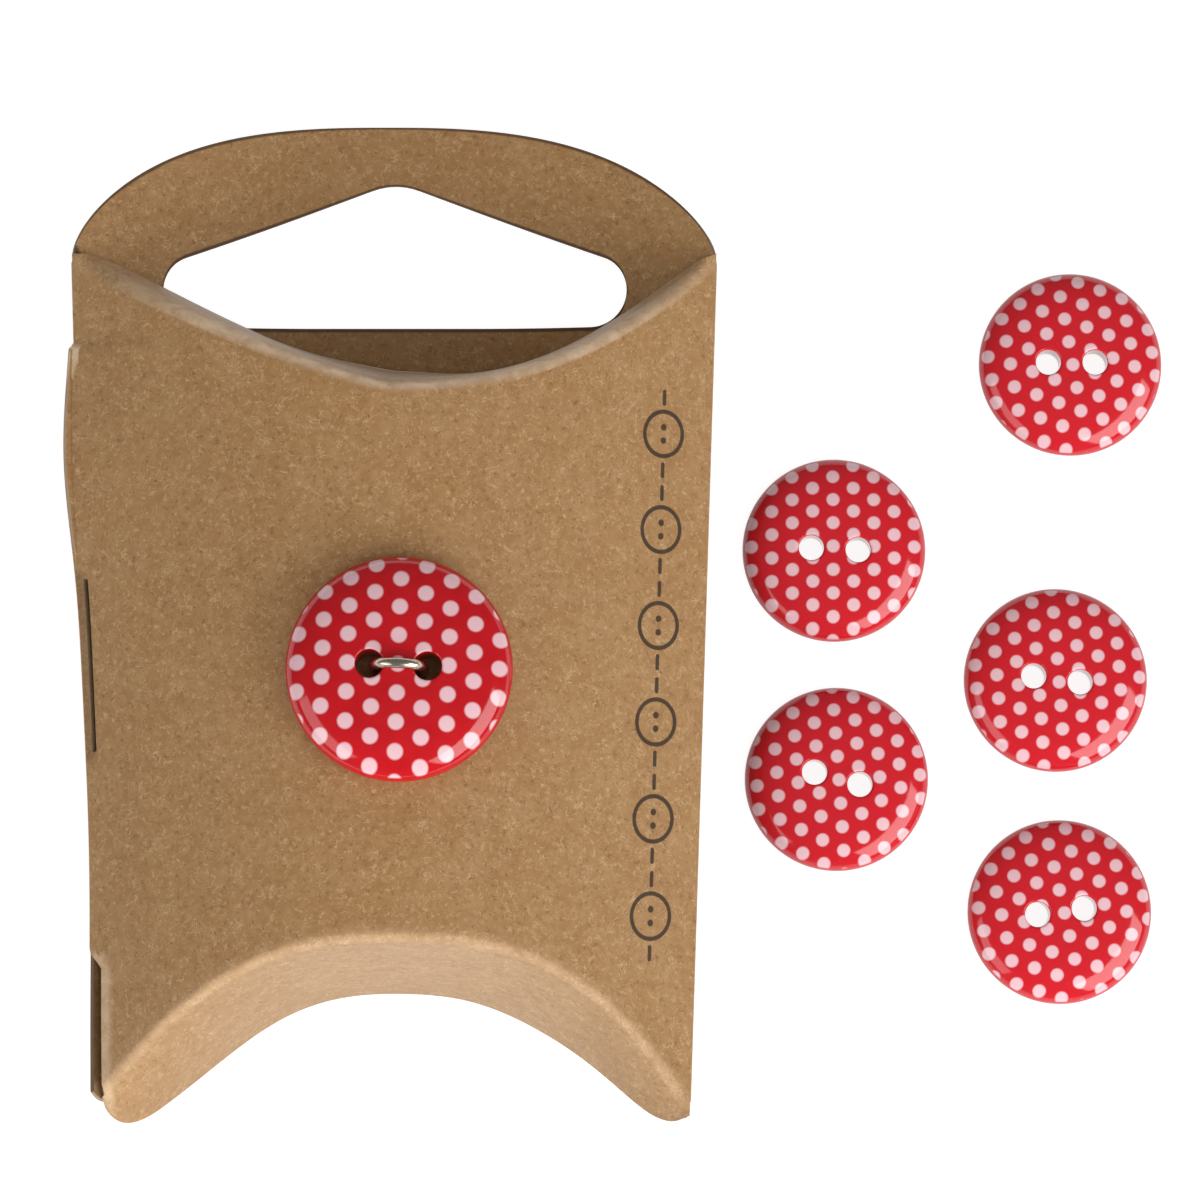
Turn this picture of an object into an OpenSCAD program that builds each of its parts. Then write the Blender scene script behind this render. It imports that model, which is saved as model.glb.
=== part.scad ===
// Pillow carton of kraft board with a hang header, lying on its back.
// One two-hole button is stapled to its front, and five loose buttons lie beside it.
// The front faces up (+Z), the header points along +Y, and the origin is on the floor,
// in the middle of the flat strip that the back rests on.

/* [Carton body] */
// Width between the two head corners
head_w = 59; // [52:0.5:66]
// Width between the two foot corners
foot_w = 53.8; // [48:0.1:60]
// Length from the head corners to the foot corners
body_len = 77.9; // [68:0.1:90]
// Thickness of the board
board_t = 0.45; // [0.3:0.05:0.6]
// Rise of the front panel over the side folds
front_bow = 11; // [9:0.25:13]
// Drop of the back panel under the side folds, at the foot
foot_back_bow = 11; // [9:0.25:13]
// Drop of the back panel under the side folds, at the head
head_back_bow = 5; // [4:0.25:7]
// Width of the flat strip that the back rests on
rest_w = 14; // [8:0.5:20]
// How far the left seam swells out past the straight side, towards the head
left_swell = 1.1; // [0:0.05:2]
// How far the left seam draws in from the straight side, towards the foot
left_pinch = 0.45; // [0:0.05:1]

/* [Curved creases] */
// How far the front's head crease dips below the head corners
head_dip = 12.8; // [11:0.1:16]
// How far the front's foot crease rises above the foot corners
foot_rise = 15; // [13:0.1:18]
// Reach of the soft bend at the front's head crease, to each side
head_crease_r = 2.2; // [1.2:0.1:2.8]
// Reach of the bends at the foot creases, to each side
foot_crease_r = 1.1; // [0.7:0.05:1.6]
// How far the head flap leans out behind its crease
head_lean = 1.7; // [1:0.1:3]
// How far the foot flap leans out past its crease, in the middle
foot_lean = 4; // [3:0.1:5]
// How much further the foot flap leans out towards its tips
foot_tip_lean = 3; // [2:0.1:5]
// Gap between a flap's free edge and the board that it comes near
flap_clear = 0.35; // [0.2:0.05:0.6]

/* [Header] */
// Height of the header over the head corners
header_h = 12.4; // [10.5:0.1:15]
// How far the top of the header leans to the left
header_shift = 0.8; // [0:0.1:1.5]
// Width of the hang hole
hang_w = 42.9; // [36:0.1:46]
// Height of the hang hole over the head corners
hang_over = 7.3; // [5.5:0.1:8.5]
// Depth of the hang hole under the head corners
hang_under = 6; // [5:0.1:7]
// Radius of the hang hole's peak
hang_peak_r = 6; // [4:0.1:7]
// Radius of the hang hole's two ends
hang_end_r = 3.35; // [2.5:0.05:4]

/* [Left seam] */
// Length of the open seam at the foot
seam_gap_len = 13.8; // [10:0.1:18]
// Width of the open seam at the foot
seam_gap_w = 1.1; // [0.6:0.05:1.6]
// Length of the tuck slit beside the left fold
slit_len = 15.6; // [12:0.1:18]
// Width of the tuck slit
slit_w = 0.45; // [0.3:0.05:0.7]
// Distance of the tuck slit from the left fold
slit_in = 0.65; // [0.5:0.05:1.4]

/* [Buttons] */
// Diameter of the stapled button
button_d = 20.3; // [18:0.1:23]
// Height of the stapled button
button_h = 4.4; // [4:0.1:5]
// Diameter of a loose button
loose_d = 16.9; // [14:0.1:20]
// Height of a loose button
loose_h = 3.8; // [3.5:0.1:4.4]
// Diameter of the stapled button's two holes
hole_d = 2.5; // [2.2:0.05:2.6]
// Distance between the stapled button's hole centres
hole_pitch = 5.2; // [5:0.1:5.6]
// Diameter of a loose button's two holes
loose_hole_d = 2.3; // [1.8:0.05:2.5]
// Distance between a loose button's hole centres
loose_hole_pitch = 4.3; // [3.9:0.05:4.8]
// Distance of the stapled button from the front's middle line
button_x = 0.95; // [-2:0.05:2]
// Turn of the stapled button
button_turn = -2.5; // [-20:0.5:20]
// Gap between the carton's side and the nearest loose buttons
loose_gap = 2.65; // [1.5:0.05:6]

/* [Staple] */
// Diameter of the staple's wire
wire_d = 0.85; // [0.7:0.05:1]
// Radius of the wire's bends over the button, at its middle
wire_bend_r = 1.2; // [1:0.05:1.3]
// Radius of the wire's clinched bends under the board, at its middle
clinch_bend_r = 0.55; // [0.52:0.01:0.65]
// Length of each clinched end, past its bend
clinch_len = 0.8; // [0.5:0.05:0.9]

/* [Hidden] */
$fn = 64;

kraft = [0.66, 0.51, 0.36];
button_red = [0.76, 0.08, 0.11];
wire_silver = [0.75, 0.75, 0.77];

y_head = body_len / 2;
y_foot = -body_len / 2;
cut_over = 2;

// Columns across a sheet, rows along a panel and steps round a crease
columns = 40;
panel_rows = 9;
crease_steps = 4;

// Steps along the two curves of a button's section
under_steps = 6;
dome_steps = 16;

// Powers of the curves: the left halves of the creases are the straighter ones
head_left_power = 1.3;
head_right_power = 2.3;
foot_left_power = 2.3;
foot_right_power = 2.8;
arch_power = 2.8;
arch_round = 0.7;
tip_power = 10;
swell_power = 4;

// Where the left seam swells and draws in, as shares of the body's length
swell_at_share = 0.265;
swell_span_share = 0.13;
pinch_at_share = -0.2;
pinch_span_share = 0.2;

// A flap's least length, at its tips, and the share of the end that the inner flap closes
tip_len = 0.4;
inner_flap_share = 0.8;
flap_row_share = 0.75;

// The tuck slit's lower end, as a share of the body's length over the foot corners
slit_at_share = 0.414;

// The back's foot crease stays inside the foot flap
back_rise = foot_rise - foot_lean + board_t + flap_clear;

// A button's rim height, flat back and dome, the flare of its holes, and the wire's clearances
rim_share = 0.34;
flat_back_share = 0.8;
dome_power = 3;
flare_share = 0.1;
seat_clear = 0.02;
wire_clear = 0.1;
crown_clear = 0.25;

// Loose buttons: the place of each along X and Y as shares of its diameter, and its turn in degrees
loose_column_shares = [1.29, -0.005, 1.2, 0.005, 1.215];
loose_row_shares = [1.745, 0.725, 0.015, -0.525, -1.247];
loose_turns = [0, -2.5, -7.5, -15, 7.5];

button_y = 0;

// The staple's legs bear on the inner sides of the button's holes
leg_x = hole_pitch / 2 - hole_d / 2 + wire_d / 2 + wire_clear;
rest_share = rest_w / head_w;

function mix(a, b, t) = a + (b - a) * t;
function along(y) = (y - y_foot) / body_len;
function half_w(y) = mix(foot_w, head_w, along(y)) / 2;
function back_bow(y) = mix(foot_back_bow, head_back_bow, along(y));
function fold_z(y) = board_t / 2 + back_bow(y);

// The sides are straight folds, but the left seam swells out a little and draws in further down
function hump(y, at, span) = exp(-pow((y / body_len - at) / span, 2));
function swell(y) =
    left_swell * hump(y, swell_at_share, swell_span_share)
    - left_pinch * hump(y, pinch_at_share, pinch_span_share);
function side_x(u, y) = u * half_w(y) - swell(y) * pow(max(0, -u), swell_power);

// Middle of the board: u runs from -1 at the left side to 1 at the right side
function front_z(u, y) = fold_z(y) + front_bow * (1 - u * u);
function back_share(u) = pow(max(0, (abs(u) - rest_share) / (1 - rest_share)), 2);
function back_z(u, y) = board_t / 2 + back_bow(y) * back_share(u);
function place(u, y, z) = [side_x(u, y), y, z];

// The header leans to the left above the head corners
function header_x(y) = -header_shift * max(0, y - y_head) / header_h;
function back_place(u, y, z) = [side_x(u, y) + header_x(y), y, z];

// The curved creases, and the free edges of the sheet beyond them
function head_power(u) = u < 0 ? head_left_power : head_right_power;
function head_crease_y(u) = y_head - head_dip * (1 - pow(abs(u), head_power(u)));
function foot_power(u) = u < 0 ? foot_left_power : foot_right_power;
function foot_crease_y(u) = y_foot + foot_rise * (1 - pow(abs(u), foot_power(u)));
function back_crease_y(u) = y_foot + back_rise * (1 - pow(abs(u), foot_power(u)));
function arch_y(u) = y_head + tip_len + header_h * pow(max(0, 1 - pow(abs(u), arch_power)), arch_round);
function tip_taper(u) = 1 - pow(abs(u), tip_power);

function head_edge(u) =
    let (y = head_crease_y(u) + tip_len + head_lean * tip_taper(u))
    place(u, y, min(back_z(u, y) + board_t + flap_clear, front_z(u, y)));
function head_corner(u) = place(u, head_crease_y(u), front_z(u, head_crease_y(u)));
function foot_corner(u) = place(u, foot_crease_y(u), front_z(u, foot_crease_y(u)));
function foot_edge(u) =
    let (y = foot_crease_y(u) - tip_len - (foot_lean + foot_tip_lean * u * u) * tip_taper(u))
    place(u, y, min(back_z(u, y) + flap_clear, front_z(u, y)));
function back_corner(u) = place(u, back_crease_y(u), back_z(u, back_crease_y(u)));
function inner_edge(u) =
    let (y = mix(y_foot - tip_len, foot_crease_y(u) + board_t + flap_clear, tip_taper(u)))
    place(u, y, mix(back_z(u, y), front_z(u, y), inner_flap_share * tip_taper(u)));

// A crease at b between a and c, rounded by a parabola that starts bend_r away from b
function unit(v) = v / norm(v);
function crease_start(b, a, bend_r) = b + unit(a - b) * min(bend_r, norm(a - b) / 2);
function crease(a, b, c, bend_r) = [
    for (i = [0:crease_steps])
        let (t = i / crease_steps)
        mix(mix(crease_start(b, a, bend_r), b, t), mix(b, crease_start(b, c, bend_r), t), t)
];

// One column of each sheet, from its head to its foot
function front_column(u) =
    let (y_a = head_crease_y(u) - head_crease_r, y_b = foot_crease_y(u) + foot_crease_r)
    let (panel = [
        for (i = [1:panel_rows])
            let (y = mix(y_a, y_b, i / (panel_rows + 1)))
            place(u, y, front_z(u, y))
    ])
    concat(
        [head_edge(u)],
        crease(head_edge(u), head_corner(u), panel[0], head_crease_r),
        panel,
        crease(panel[panel_rows - 1], foot_corner(u), foot_edge(u), foot_crease_r),
        [mix(foot_corner(u), foot_edge(u), flap_row_share)],
        [foot_edge(u)]
    );
function back_column(u) =
    let (y_a = arch_y(u), y_b = back_crease_y(u) + foot_crease_r)
    let (panel = [
        for (i = [0:panel_rows])
            let (y = mix(y_a, y_b, i / (panel_rows + 1)))
            back_place(u, y, back_z(u, y))
    ])
    concat(
        panel,
        crease(panel[panel_rows], back_corner(u), inner_edge(u), foot_crease_r),
        [inner_edge(u)]
    );

// Board of thickness board_t round a grid of middle points, one column after another
function column_u(j) = sin(mix(-90, 90, j / columns));
function slope(grid, j, i) = grid[min(j + 1, columns)][i] - grid[max(j - 1, 0)][i];
function rise(column, i) = column[min(i + 1, len(column) - 1)] - column[max(i - 1, 0)];
function lift(grid, j, i) = unit(cross(rise(grid[j], i), slope(grid, j, i))) * board_t / 2;

module sheet(grid) {
    rows = len(grid[0]);
    ring = 2 * rows;
    points = [
        for (j = [0:columns], k = [0:ring - 1])
            k < rows ? grid[j][k] + lift(grid, j, k)
                     : grid[j][ring - 1 - k] - lift(grid, j, ring - 1 - k)
    ];
    walls = [
        for (j = [0:columns - 1], k = [0:ring - 1])
            let (a = j * ring + k, b = j * ring + (k + 1) % ring)
            each [[a, a + ring, b + ring], [a, b + ring, b]]
    ];
    last = columns * ring;
    caps = [
        for (i = [0:rows - 2])
            let (k = ring - 1 - i)
            each [
                [i, i + 1, k - 1], [i, k - 1, k],
                [last + i + 1, last + i, last + k], [last + i + 1, last + k, last + k - 1]
            ]
    ];
    polyhedron(points, concat(walls, caps), convexity = 8);
}

// A bar along the left side, from y_a to y_b, between two distances from the side fold
module side_bar(y_a, y_b, inner, outer, z_a, z_b) {
    translate([0, 0, z_a])
        linear_extrude(z_b - z_a)
            polygon([
                [side_x(-1, y_a) + outer, y_a], [side_x(-1, y_a) + inner, y_a],
                [side_x(-1, y_b) + inner, y_b], [side_x(-1, y_b) + outer, y_b]
            ]);
}

module hang_hole() {
    translate([0, 0, -cut_over])
        linear_extrude(back_bow(y_foot) + 2 * cut_over)
            hull() {
                translate([0, y_head + hang_over - hang_peak_r])
                    circle(hang_peak_r);
                for (side = [-1, 1])
                    translate([side * (hang_w / 2 - hang_end_r), y_head - hang_under + hang_end_r])
                        circle(hang_end_r);
            }
}

// Places the children where the stapled button's back sits on the front's crest
module at_seat() {
    fall = atan((head_back_bow - foot_back_bow) / body_len);
    translate([button_x, button_y, front_z(0, button_y)])
        rotate([fall, 0, 0])
            translate([0, 0, board_t / 2 + seat_clear])
                rotate(button_turn)
                    children();
}

// Places the children at both holes of a button
module at_holes(pitch) {
    for (side = [-1, 1])
        translate([side * pitch / 2, 0, 0])
            children();
}

module carton() {
    slit_y = y_foot + slit_at_share * body_len;
    sheet_top = fold_z(y_foot) + front_bow + cut_over;
    front = [for (j = [0:columns]) front_column(column_u(j))];
    back = [for (j = [0:columns]) back_column(column_u(j))];
    color(kraft)
        union() {
            difference() {
                sheet(front);
                side_bar(y_foot - cut_over, y_foot + seam_gap_len, seam_gap_w, -cut_over, 0, sheet_top);
                side_bar(slit_y, slit_y + slit_len, slit_in + slit_w, slit_in, 0, sheet_top);
                at_seat()
                    at_holes(2 * leg_x)
                        cylinder(h = 2 * cut_over, d = wire_d + 2 * wire_clear, center = true);
            }
            difference() {
                sheet(back);
                hang_hole();
            }
        }
}

// Half section of a button: a flat back, a quarter ellipse up to the rim, and a broad dome
function button_section(d, h) =
    let (rim_z = h * rim_share, back_r = d / 2 * flat_back_share)
    concat(
        [[0, 0]],
        [
            for (i = [0:under_steps])
                let (angle = 90 * i / under_steps)
                [mix(back_r, d / 2, sin(angle)), rim_z * (1 - cos(angle))]
        ],
        [
            for (i = [1:dome_steps])
                let (share = cos(90 * i / dome_steps))
                [d / 2 * share, mix(rim_z, h, sqrt(1 - pow(share, dome_power)))]
        ]
    );

module button(d, h, hole, pitch) {
    flare = hole * flare_share;
    difference() {
        rotate_extrude($fn = 96)
            polygon(button_section(d, h));
        at_holes(pitch) {
            translate([0, 0, -cut_over])
                cylinder(h = h + 2 * cut_over, d = hole);
            translate([0, 0, h - flare])
                cylinder(h = 2 * flare, d1 = hole, d2 = hole + 4 * flare);
        }
    }
}

module front_button() {
    color(button_red)
        at_seat()
            button(button_d, button_h, hole_d, hole_pitch);
}

// A quarter bend of wire from +X to +Z, round the Y axis
module wire_bend(bend_r) {
    rotate([90, 0, 0])
        rotate_extrude(angle = 90)
            translate([bend_r, 0])
                circle(d = wire_d);
}

// One half of the staple: half the crown, a leg through the hole and a clinched end
module staple_half() {
    top_z = button_h + crown_clear + wire_d / 2;
    under_z = -board_t - 2 * seat_clear - 2 * wire_clear - wire_d / 2;
    translate([0, 0, top_z])
        rotate([0, 90, 0])
            cylinder(h = leg_x - wire_bend_r, d = wire_d);
    translate([leg_x - wire_bend_r, 0, top_z - wire_bend_r])
        wire_bend(wire_bend_r);
    translate([leg_x, 0, under_z + clinch_bend_r])
        cylinder(h = top_z - under_z - wire_bend_r - clinch_bend_r, d = wire_d);
    translate([leg_x - clinch_bend_r, 0, under_z + clinch_bend_r])
        mirror([0, 0, 1])
            wire_bend(clinch_bend_r);
    translate([leg_x - clinch_bend_r - clinch_len, 0, under_z])
        rotate([0, 90, 0])
            cylinder(h = clinch_len, d = wire_d);
}

module staple() {
    color(wire_silver)
        at_seat() {
            staple_half();
            mirror([1, 0, 0])
                staple_half();
        }
}

module loose_button(i) {
    near_x = head_w / 2 + loose_gap + loose_d / 2;
    color(button_red)
        translate([near_x + loose_column_shares[i] * loose_d, loose_row_shares[i] * loose_d, 0])
            rotate(loose_turns[i])
                button(loose_d, loose_h, loose_hole_d, loose_hole_pitch);
}

carton();
front_button();
staple();
loose_button(0);  // loose_button_1
loose_button(1);  // loose_button_2
loose_button(2);  // loose_button_3
loose_button(3);  // loose_button_4
loose_button(4);  // loose_button_5
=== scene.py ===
"""A kraft pillow carton lying on its back, with one button stapled to it and five beside it."""
import math
import bmesh
import bpy
import numpy as np
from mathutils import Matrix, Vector


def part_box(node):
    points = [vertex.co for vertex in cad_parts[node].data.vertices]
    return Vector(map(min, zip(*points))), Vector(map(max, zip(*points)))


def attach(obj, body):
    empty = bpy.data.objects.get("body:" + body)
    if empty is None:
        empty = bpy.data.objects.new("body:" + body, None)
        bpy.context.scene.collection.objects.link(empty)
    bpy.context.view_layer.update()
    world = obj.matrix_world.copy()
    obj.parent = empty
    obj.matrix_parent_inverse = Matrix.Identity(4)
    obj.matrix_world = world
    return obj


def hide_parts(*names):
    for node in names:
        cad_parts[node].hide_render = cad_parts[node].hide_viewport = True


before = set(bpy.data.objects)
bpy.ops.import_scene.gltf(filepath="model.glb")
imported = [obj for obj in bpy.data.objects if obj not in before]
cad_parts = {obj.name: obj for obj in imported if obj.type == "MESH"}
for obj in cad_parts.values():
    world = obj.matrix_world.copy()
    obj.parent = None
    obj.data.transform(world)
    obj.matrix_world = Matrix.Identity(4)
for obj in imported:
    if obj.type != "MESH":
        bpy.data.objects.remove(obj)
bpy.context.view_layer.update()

# Carton
# One sheet of brown kraft board, about half a millimetre thick, folded into a pillow. The front
# carries a head flap and a foot flap on curved creases; the back runs on as a hang header and
# carries the inner foot flap. The right side is a fold and the left side a tucked seam.
MM = 0.001
HEAD_W = 59 * MM
FOOT_W = 53.8 * MM
BODY_LEN = 77.9 * MM
BOARD_T = 0.45 * MM
FRONT_BOW = 11 * MM
FOOT_BACK_BOW = 11 * MM
HEAD_BACK_BOW = 5 * MM
REST_W = 14 * MM
LEFT_SWELL = 1.1 * MM
SWELL_AT = 0.265
SWELL_SPREAD = 0.13
LEFT_PINCH = 0.45 * MM
PINCH_AT = -0.2
PINCH_SPREAD = 0.2
LEFT_POWER = 4
HEAD_DIP = 12.8 * MM
FOOT_RISE = 15 * MM
HEAD_CREASE_R = 2.2 * MM
FOOT_CREASE_R = 1.1 * MM
HEAD_LEAN = 1.3 * MM
FOOT_LEAN = 4.0 * MM
FOOT_TIP_LEAN = 3 * MM
FLAP_CLEAR = 0.35 * MM
TIP_LEN = 0.4 * MM
HEAD_LEFT_POWER = 1.3
HEAD_RIGHT_POWER = 2.3
FOOT_LEFT_POWER = 2.3
FOOT_RIGHT_POWER = 2.8
TIP_POWER = 10
INNER_FLAP_SHARE = 0.8
Y_HEAD = BODY_LEN / 2
Y_FOOT = -BODY_LEN / 2
BACK_RISE = FOOT_RISE - FOOT_LEAN + BOARD_T + FLAP_CLEAR
SEAM_STEP_Y = 30.6 * MM
SEAM_STEP_LEN = 0.15 * MM
STEP_BACK = 0.1

SHEET_COLUMNS = 160
FLAP_ROWS = 16
CREASE_ROWS = 12
PANEL_ROWS = 150


def mix(a, b, t):
    """The value a share t of the way from a to b."""
    return a + (b - a) * t


def half_width(y):
    """Half the carton's width, which widens evenly from foot to head."""
    return mix(FOOT_W, HEAD_W, (y - Y_FOOT) / BODY_LEN) / 2


def back_bow(y):
    """Drop of the back under the side folds, which shrinks evenly from foot to head."""
    return mix(FOOT_BACK_BOW, HEAD_BACK_BOW, (y - Y_FOOT) / BODY_LEN)


def bell(place, middle, spread):
    """A bell curve: one in its middle, and a little over a third a spread away from it."""
    return np.exp(-((place - middle) / spread) ** 2)


def side_x(u, y):
    """Across the sheet: u times the half width, and on the left a swell towards the head and a
    draw towards the foot, each a bell curve along the seam. The swell ends in a step."""
    swell = LEFT_SWELL * bell(y / BODY_LEN, SWELL_AT, SWELL_SPREAD)
    swell = swell * np.clip((SEAM_STEP_Y - y) / SEAM_STEP_LEN + 0.5, -STEP_BACK, 1)
    pinch = LEFT_PINCH * bell(y / BODY_LEN, PINCH_AT, PINCH_SPREAD)
    return u * half_width(y) - (swell - pinch) * np.maximum(0, -u) ** LEFT_POWER


def front_z(u, y):
    """Height of the front: the side fold's, and a parabola across."""
    return BOARD_T / 2 + back_bow(y) + FRONT_BOW * (1 - u * u)


def back_z(u, y):
    """Height of the back: flat on the floor in the middle, and a parabola up to each side fold."""
    rest = REST_W / HEAD_W
    return BOARD_T / 2 + back_bow(y) * np.maximum(0, (np.abs(u) - rest) / (1 - rest)) ** 2


def on_front(u, y):
    """Points of the front panel."""
    return np.stack([side_x(u, y), y + 0 * u, front_z(u, y)], axis=-1)


def on_back(u, y):
    """Points of the back panel."""
    return np.stack([side_x(u, y), y + 0 * u, back_z(u, y)], axis=-1)


def tip_taper(u):
    """One over most of the width, falling to nothing at the two tips."""
    return 1 - np.abs(u) ** TIP_POWER


def head_crease_y(u):
    """The head crease: a curve that dips in the middle, straighter on the left."""
    power = np.where(u < 0, HEAD_LEFT_POWER, HEAD_RIGHT_POWER)
    return Y_HEAD - HEAD_DIP * (1 - np.abs(u) ** power)


def foot_crease_y(u, rise):
    """A foot crease: a curve that rises by so much in the middle, straighter on the left."""
    power = np.where(u < 0, FOOT_LEFT_POWER, FOOT_RIGHT_POWER)
    return Y_FOOT + rise * (1 - np.abs(u) ** power)


def between(start, end, rows):
    """Rows of points on the straight lines from start to end, without the end."""
    t = np.linspace(0, 1, rows, endpoint=False)[:, None, None]
    return mix(start[None], end[None], t)


def crease(before, corner, after, bend_r):
    """Rows round a crease: parabolas that start and end bend_r from the corner."""
    def step_off(to):
        gap = np.linalg.norm(to - corner, axis=-1, keepdims=True)
        return corner + (to - corner) / gap * np.minimum(bend_r, gap / 2)
    t = np.linspace(0, 1, CREASE_ROWS + 1)[:, None, None]
    start = step_off(before)[None]
    end = step_off(after)[None]
    return mix(mix(start, corner[None], t), mix(corner[None], end, t), t)


def mark(mesh, label, values):
    """Gives each point of a mesh its own value, or vector, under a label."""
    kind, field = ("FLOAT", "value") if values.ndim == 1 else ("FLOAT_VECTOR", "vector")
    mesh.attributes.new(label, kind, "POINT").data.foreach_set(field, values.ravel())


def board(name, middle, keep, joined, wear_and_highlight, painted_shade, stitch):
    """A board round a grid of middle points: a face half its thickness to each side, and walls
    along every free edge. keep marks the grid's cells that are board, and joined gives each point
    the number of the point it shares. The attributes say where the board is worn and where
    highlights are painted on it, where shade is painted on it, where it is cut, and where the
    printed row runs."""
    normal = np.cross(np.gradient(middle, axis=0), np.gradient(middle, axis=1))
    normal /= np.linalg.norm(normal, axis=-1, keepdims=True)
    shift = (normal * BOARD_T / 2).reshape(-1, 3)
    points = middle.reshape(-1, 3)
    count = len(points)
    quads = np.stack([joined[:-1, :-1], joined[1:, :-1], joined[1:, 1:], joined[:-1, 1:]], axis=-1)[keep]
    edges = np.stack([quads, np.roll(quads, -1, axis=1)], axis=-1).reshape(-1, 2)
    free = edges[~np.isin(edges[:, 0] * count + edges[:, 1], edges[:, 1] * count + edges[:, 0])]
    rim = np.unique(free)
    rim_number = np.zeros(count, int)
    rim_number[rim] = np.arange(len(rim))
    upper = rim_number[free] + 2 * count
    lower = upper + len(rim)
    walls = np.stack([upper[:, 1], upper[:, 0], lower[:, 0], lower[:, 1]], axis=-1)
    over = points + shift
    under = points - shift
    corners = np.concatenate([over, under, over[rim], under[rim]])
    faces = np.concatenate([quads, quads[:, ::-1] + count, walls])
    used, faces = np.unique(faces, return_inverse=True)
    mesh = bpy.data.meshes.new(name)
    mesh.from_pydata(corners[used], [], faces.reshape(-1, 4).tolist())
    mesh.shade_smooth()
    for label, share in (("wear_and_highlight", wear_and_highlight.ravel()), ("painted_shade", painted_shade.ravel())):
        mark(mesh, label, np.concatenate([share, share, share[rim], share[rim]])[used])
    mark(mesh, "cut", (used >= 2 * count).astype(float))
    stitch = stitch.reshape(-1, 3)
    bare = 0 * stitch
    mark(mesh, "stitch", np.concatenate([stitch, bare, bare[rim], bare[rim]])[used])
    return mesh


# Front sheet
# Head flap, head crease, panel, foot crease and foot flap of the board, one row after another. A
# tuck slit runs beside the left fold, the seam is open at the foot, and a row of line-drawn buttons
# and stitches is printed up the right. The creases are painted pale, the head crease partly as
# scuffing and partly as painted sheen. The head flap's free edge carries a painted highlight, and
# the foot flap is painted a little paler. Painted shade darkens the board beside the slit and the
# middle of the head flap's face.
SEAM_GAP_LEN = 13.8 * MM
SEAM_GAP_W = 1.1 * MM
SEAM_GAP_EASE = 1.2 * MM
SLIT_LEN = 15.6 * MM
SLIT_W = 0.42 * MM
SLIT_IN = 0.65 * MM
SLIT_AT = 0.414
TAB_FROM = 26.8 * MM
TAB_W = 0.85 * MM
TAB_TAPER = 1.8
DRAWN_POWER = 16
TIP_ROUND = 1.3 * MM
TIP_ROUND_FROM = 0.8
FLAP_SPRING = 0.9 * MM
SPRING_AT = -0.02
SPRING_SPREAD = 0.22
LEFT_BELLY = 0.9 * MM
RIGHT_BELLY = 0.6 * MM
LEFT_BELLY_AT = -0.64
RIGHT_BELLY_AT = 0.52
BELLY_SPREAD = 0.24
RIGHT_TIP_DROP = 0.35 * MM
RIGHT_TIP_FROM = 0.9
STITCH_AT = 0.85
STITCH_FROM = -26.2 * MM
STITCH_TO = 26.6 * MM
PANEL_FALL = 1.2
PANEL_INSET = 0.004
EDGE_ROWS = 2
# Wear, painted highlights and painted shade, as shares of the finish that they lay over the board,
# and how they spread
WEAR_FROM = -0.95
WEAR_TO = 1.04
WEAR_FADE = 0.35
LEAST_WEAR = 0.1
MID_WEAR_SPREAD = 0.35
SIDE_WEAR_LAG = 1.25
MID_WEAR_LAG = 1.5
SIDE_WEAR_NARROW = 0.5
MID_WEAR_NARROW = 2.8
FOOT_WEAR = 0.2
FOOT_WEAR_LAG = 1.2
FOOT_WEAR_NARROW = 0.7
# The foot flap is painted a little paler all over
FLAP_WEAR = 0.1
TAB_WEAR = 0.85
SIDE_WEAR_W = 0.9 * MM
GAP_WEAR = 0.5
GAP_WEAR_REACH = 2.2
# Painted shade: a darker strip beside the slit, and the middle of the head flap's face, which lies in
# shade
SLIT_SHADE = 0.35
SLIT_SHADE_REACH = 1.5
SLIT_SHADE_PAST = 1 * MM
FLAP_SHADE = 0.4
FLAP_SHADE_END = 0.5

slit_low = Y_FOOT + SLIT_AT * BODY_LEN
slit_mid = slit_low + SLIT_LEN / 2
gap_top = Y_FOOT + SEAM_GAP_LEN


def drawn_in(u, y):
    """The front's places across, with the left edge drawn in along the open stretch at the foot."""
    opening = SEAM_GAP_W * np.clip((gap_top - y) / SEAM_GAP_EASE, 0, 1)
    return u + opening / half_width(y) * np.maximum(0, -u) ** DRAWN_POWER


def tip_rise(u, start):
    """A parabola from nothing at a place across to one at the right edge."""
    return np.clip((u - start) / (1 - start), 0, 1) ** 2


def crease_wear(lag, narrow):
    """Wear round a crease, row by row: half a sine wave over the share of the way round, which lag
    moves on and narrow sharpens."""
    way_round = np.linspace(0, 1, CREASE_ROWS + 1)[:, None]
    return np.sin(math.pi * way_round ** lag) ** narrow


slit_u = SLIT_IN / half_width(slit_mid) - 1
slit_end_u = (SLIT_IN + SLIT_W) / half_width(slit_mid) - 1
u = np.sin(np.linspace(-math.pi / 2, math.pi / 2, SHEET_COLUMNS + 1))
u = np.unique(np.concatenate([u, [slit_u, slit_end_u]]))
head_y = head_crease_y(u)
foot_y = foot_crease_y(u, FOOT_RISE) + TIP_ROUND * tip_rise(-u, TIP_ROUND_FROM)
sprung = bell(u, SPRING_AT, SPRING_SPREAD)
head_edge_y = head_y + TIP_LEN + HEAD_LEAN * tip_taper(u) + FLAP_SPRING * sprung
head_edge = on_front(u, head_edge_y)
head_edge[:, 2] = np.minimum(back_z(u, head_edge_y) + BOARD_T + FLAP_CLEAR, head_edge[:, 2])
foot_edge_y = foot_y - TIP_LEN - (FOOT_LEAN + FOOT_TIP_LEAN * u * u) * tip_taper(u)
foot_edge_y -= RIGHT_TIP_DROP * tip_rise(u, RIGHT_TIP_FROM)
foot_edge_y -= LEFT_BELLY * bell(u, LEFT_BELLY_AT, BELLY_SPREAD)
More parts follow.
